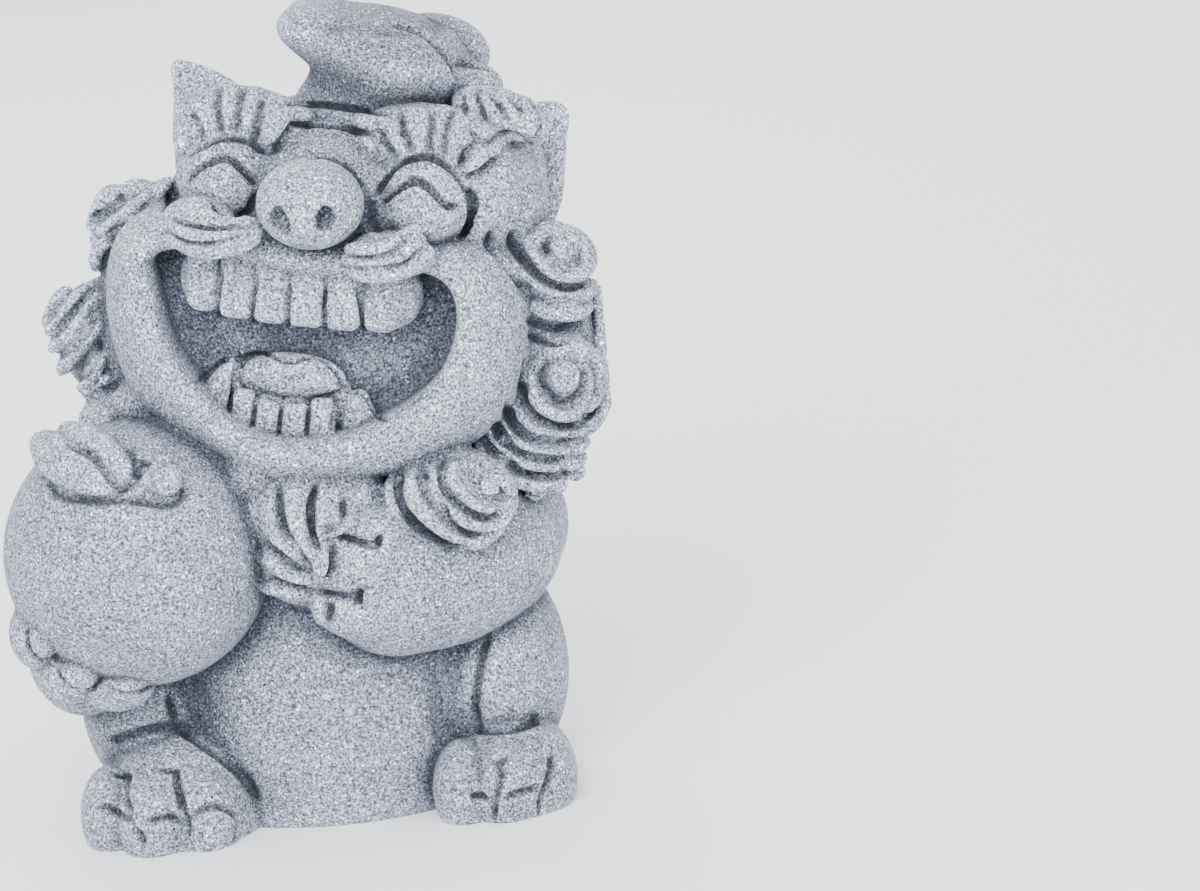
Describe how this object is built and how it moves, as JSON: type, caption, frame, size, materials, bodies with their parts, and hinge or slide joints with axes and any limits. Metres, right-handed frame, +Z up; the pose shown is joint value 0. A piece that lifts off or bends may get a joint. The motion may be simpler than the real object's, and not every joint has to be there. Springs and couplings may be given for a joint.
{
  "type": "guardian lion figurine",
  "caption": "Small cast ornament of a laughing guardian lion that sits up, holding a round leafy fruit in one paw, with a curled mane, a topknot and a wide toothy mouth.",
  "frame": {"origin": "middle of the bounding box's underside, on the table under the figure", "axes": "+Z up through the figure's height; the lion looks towards -Y and holds the fruit on its -X side"},
  "size_m": [0.066, 0.0532, 0.087],
  "materials": {
    "stone": "matt cast stone powder, pale blue-grey with fine white and dark grains, worn paler on the high places and darker in the carving"
  },
  "bodies": {
    "root": {"guardian_lion": "stone"}
  },
  "joints": []
}
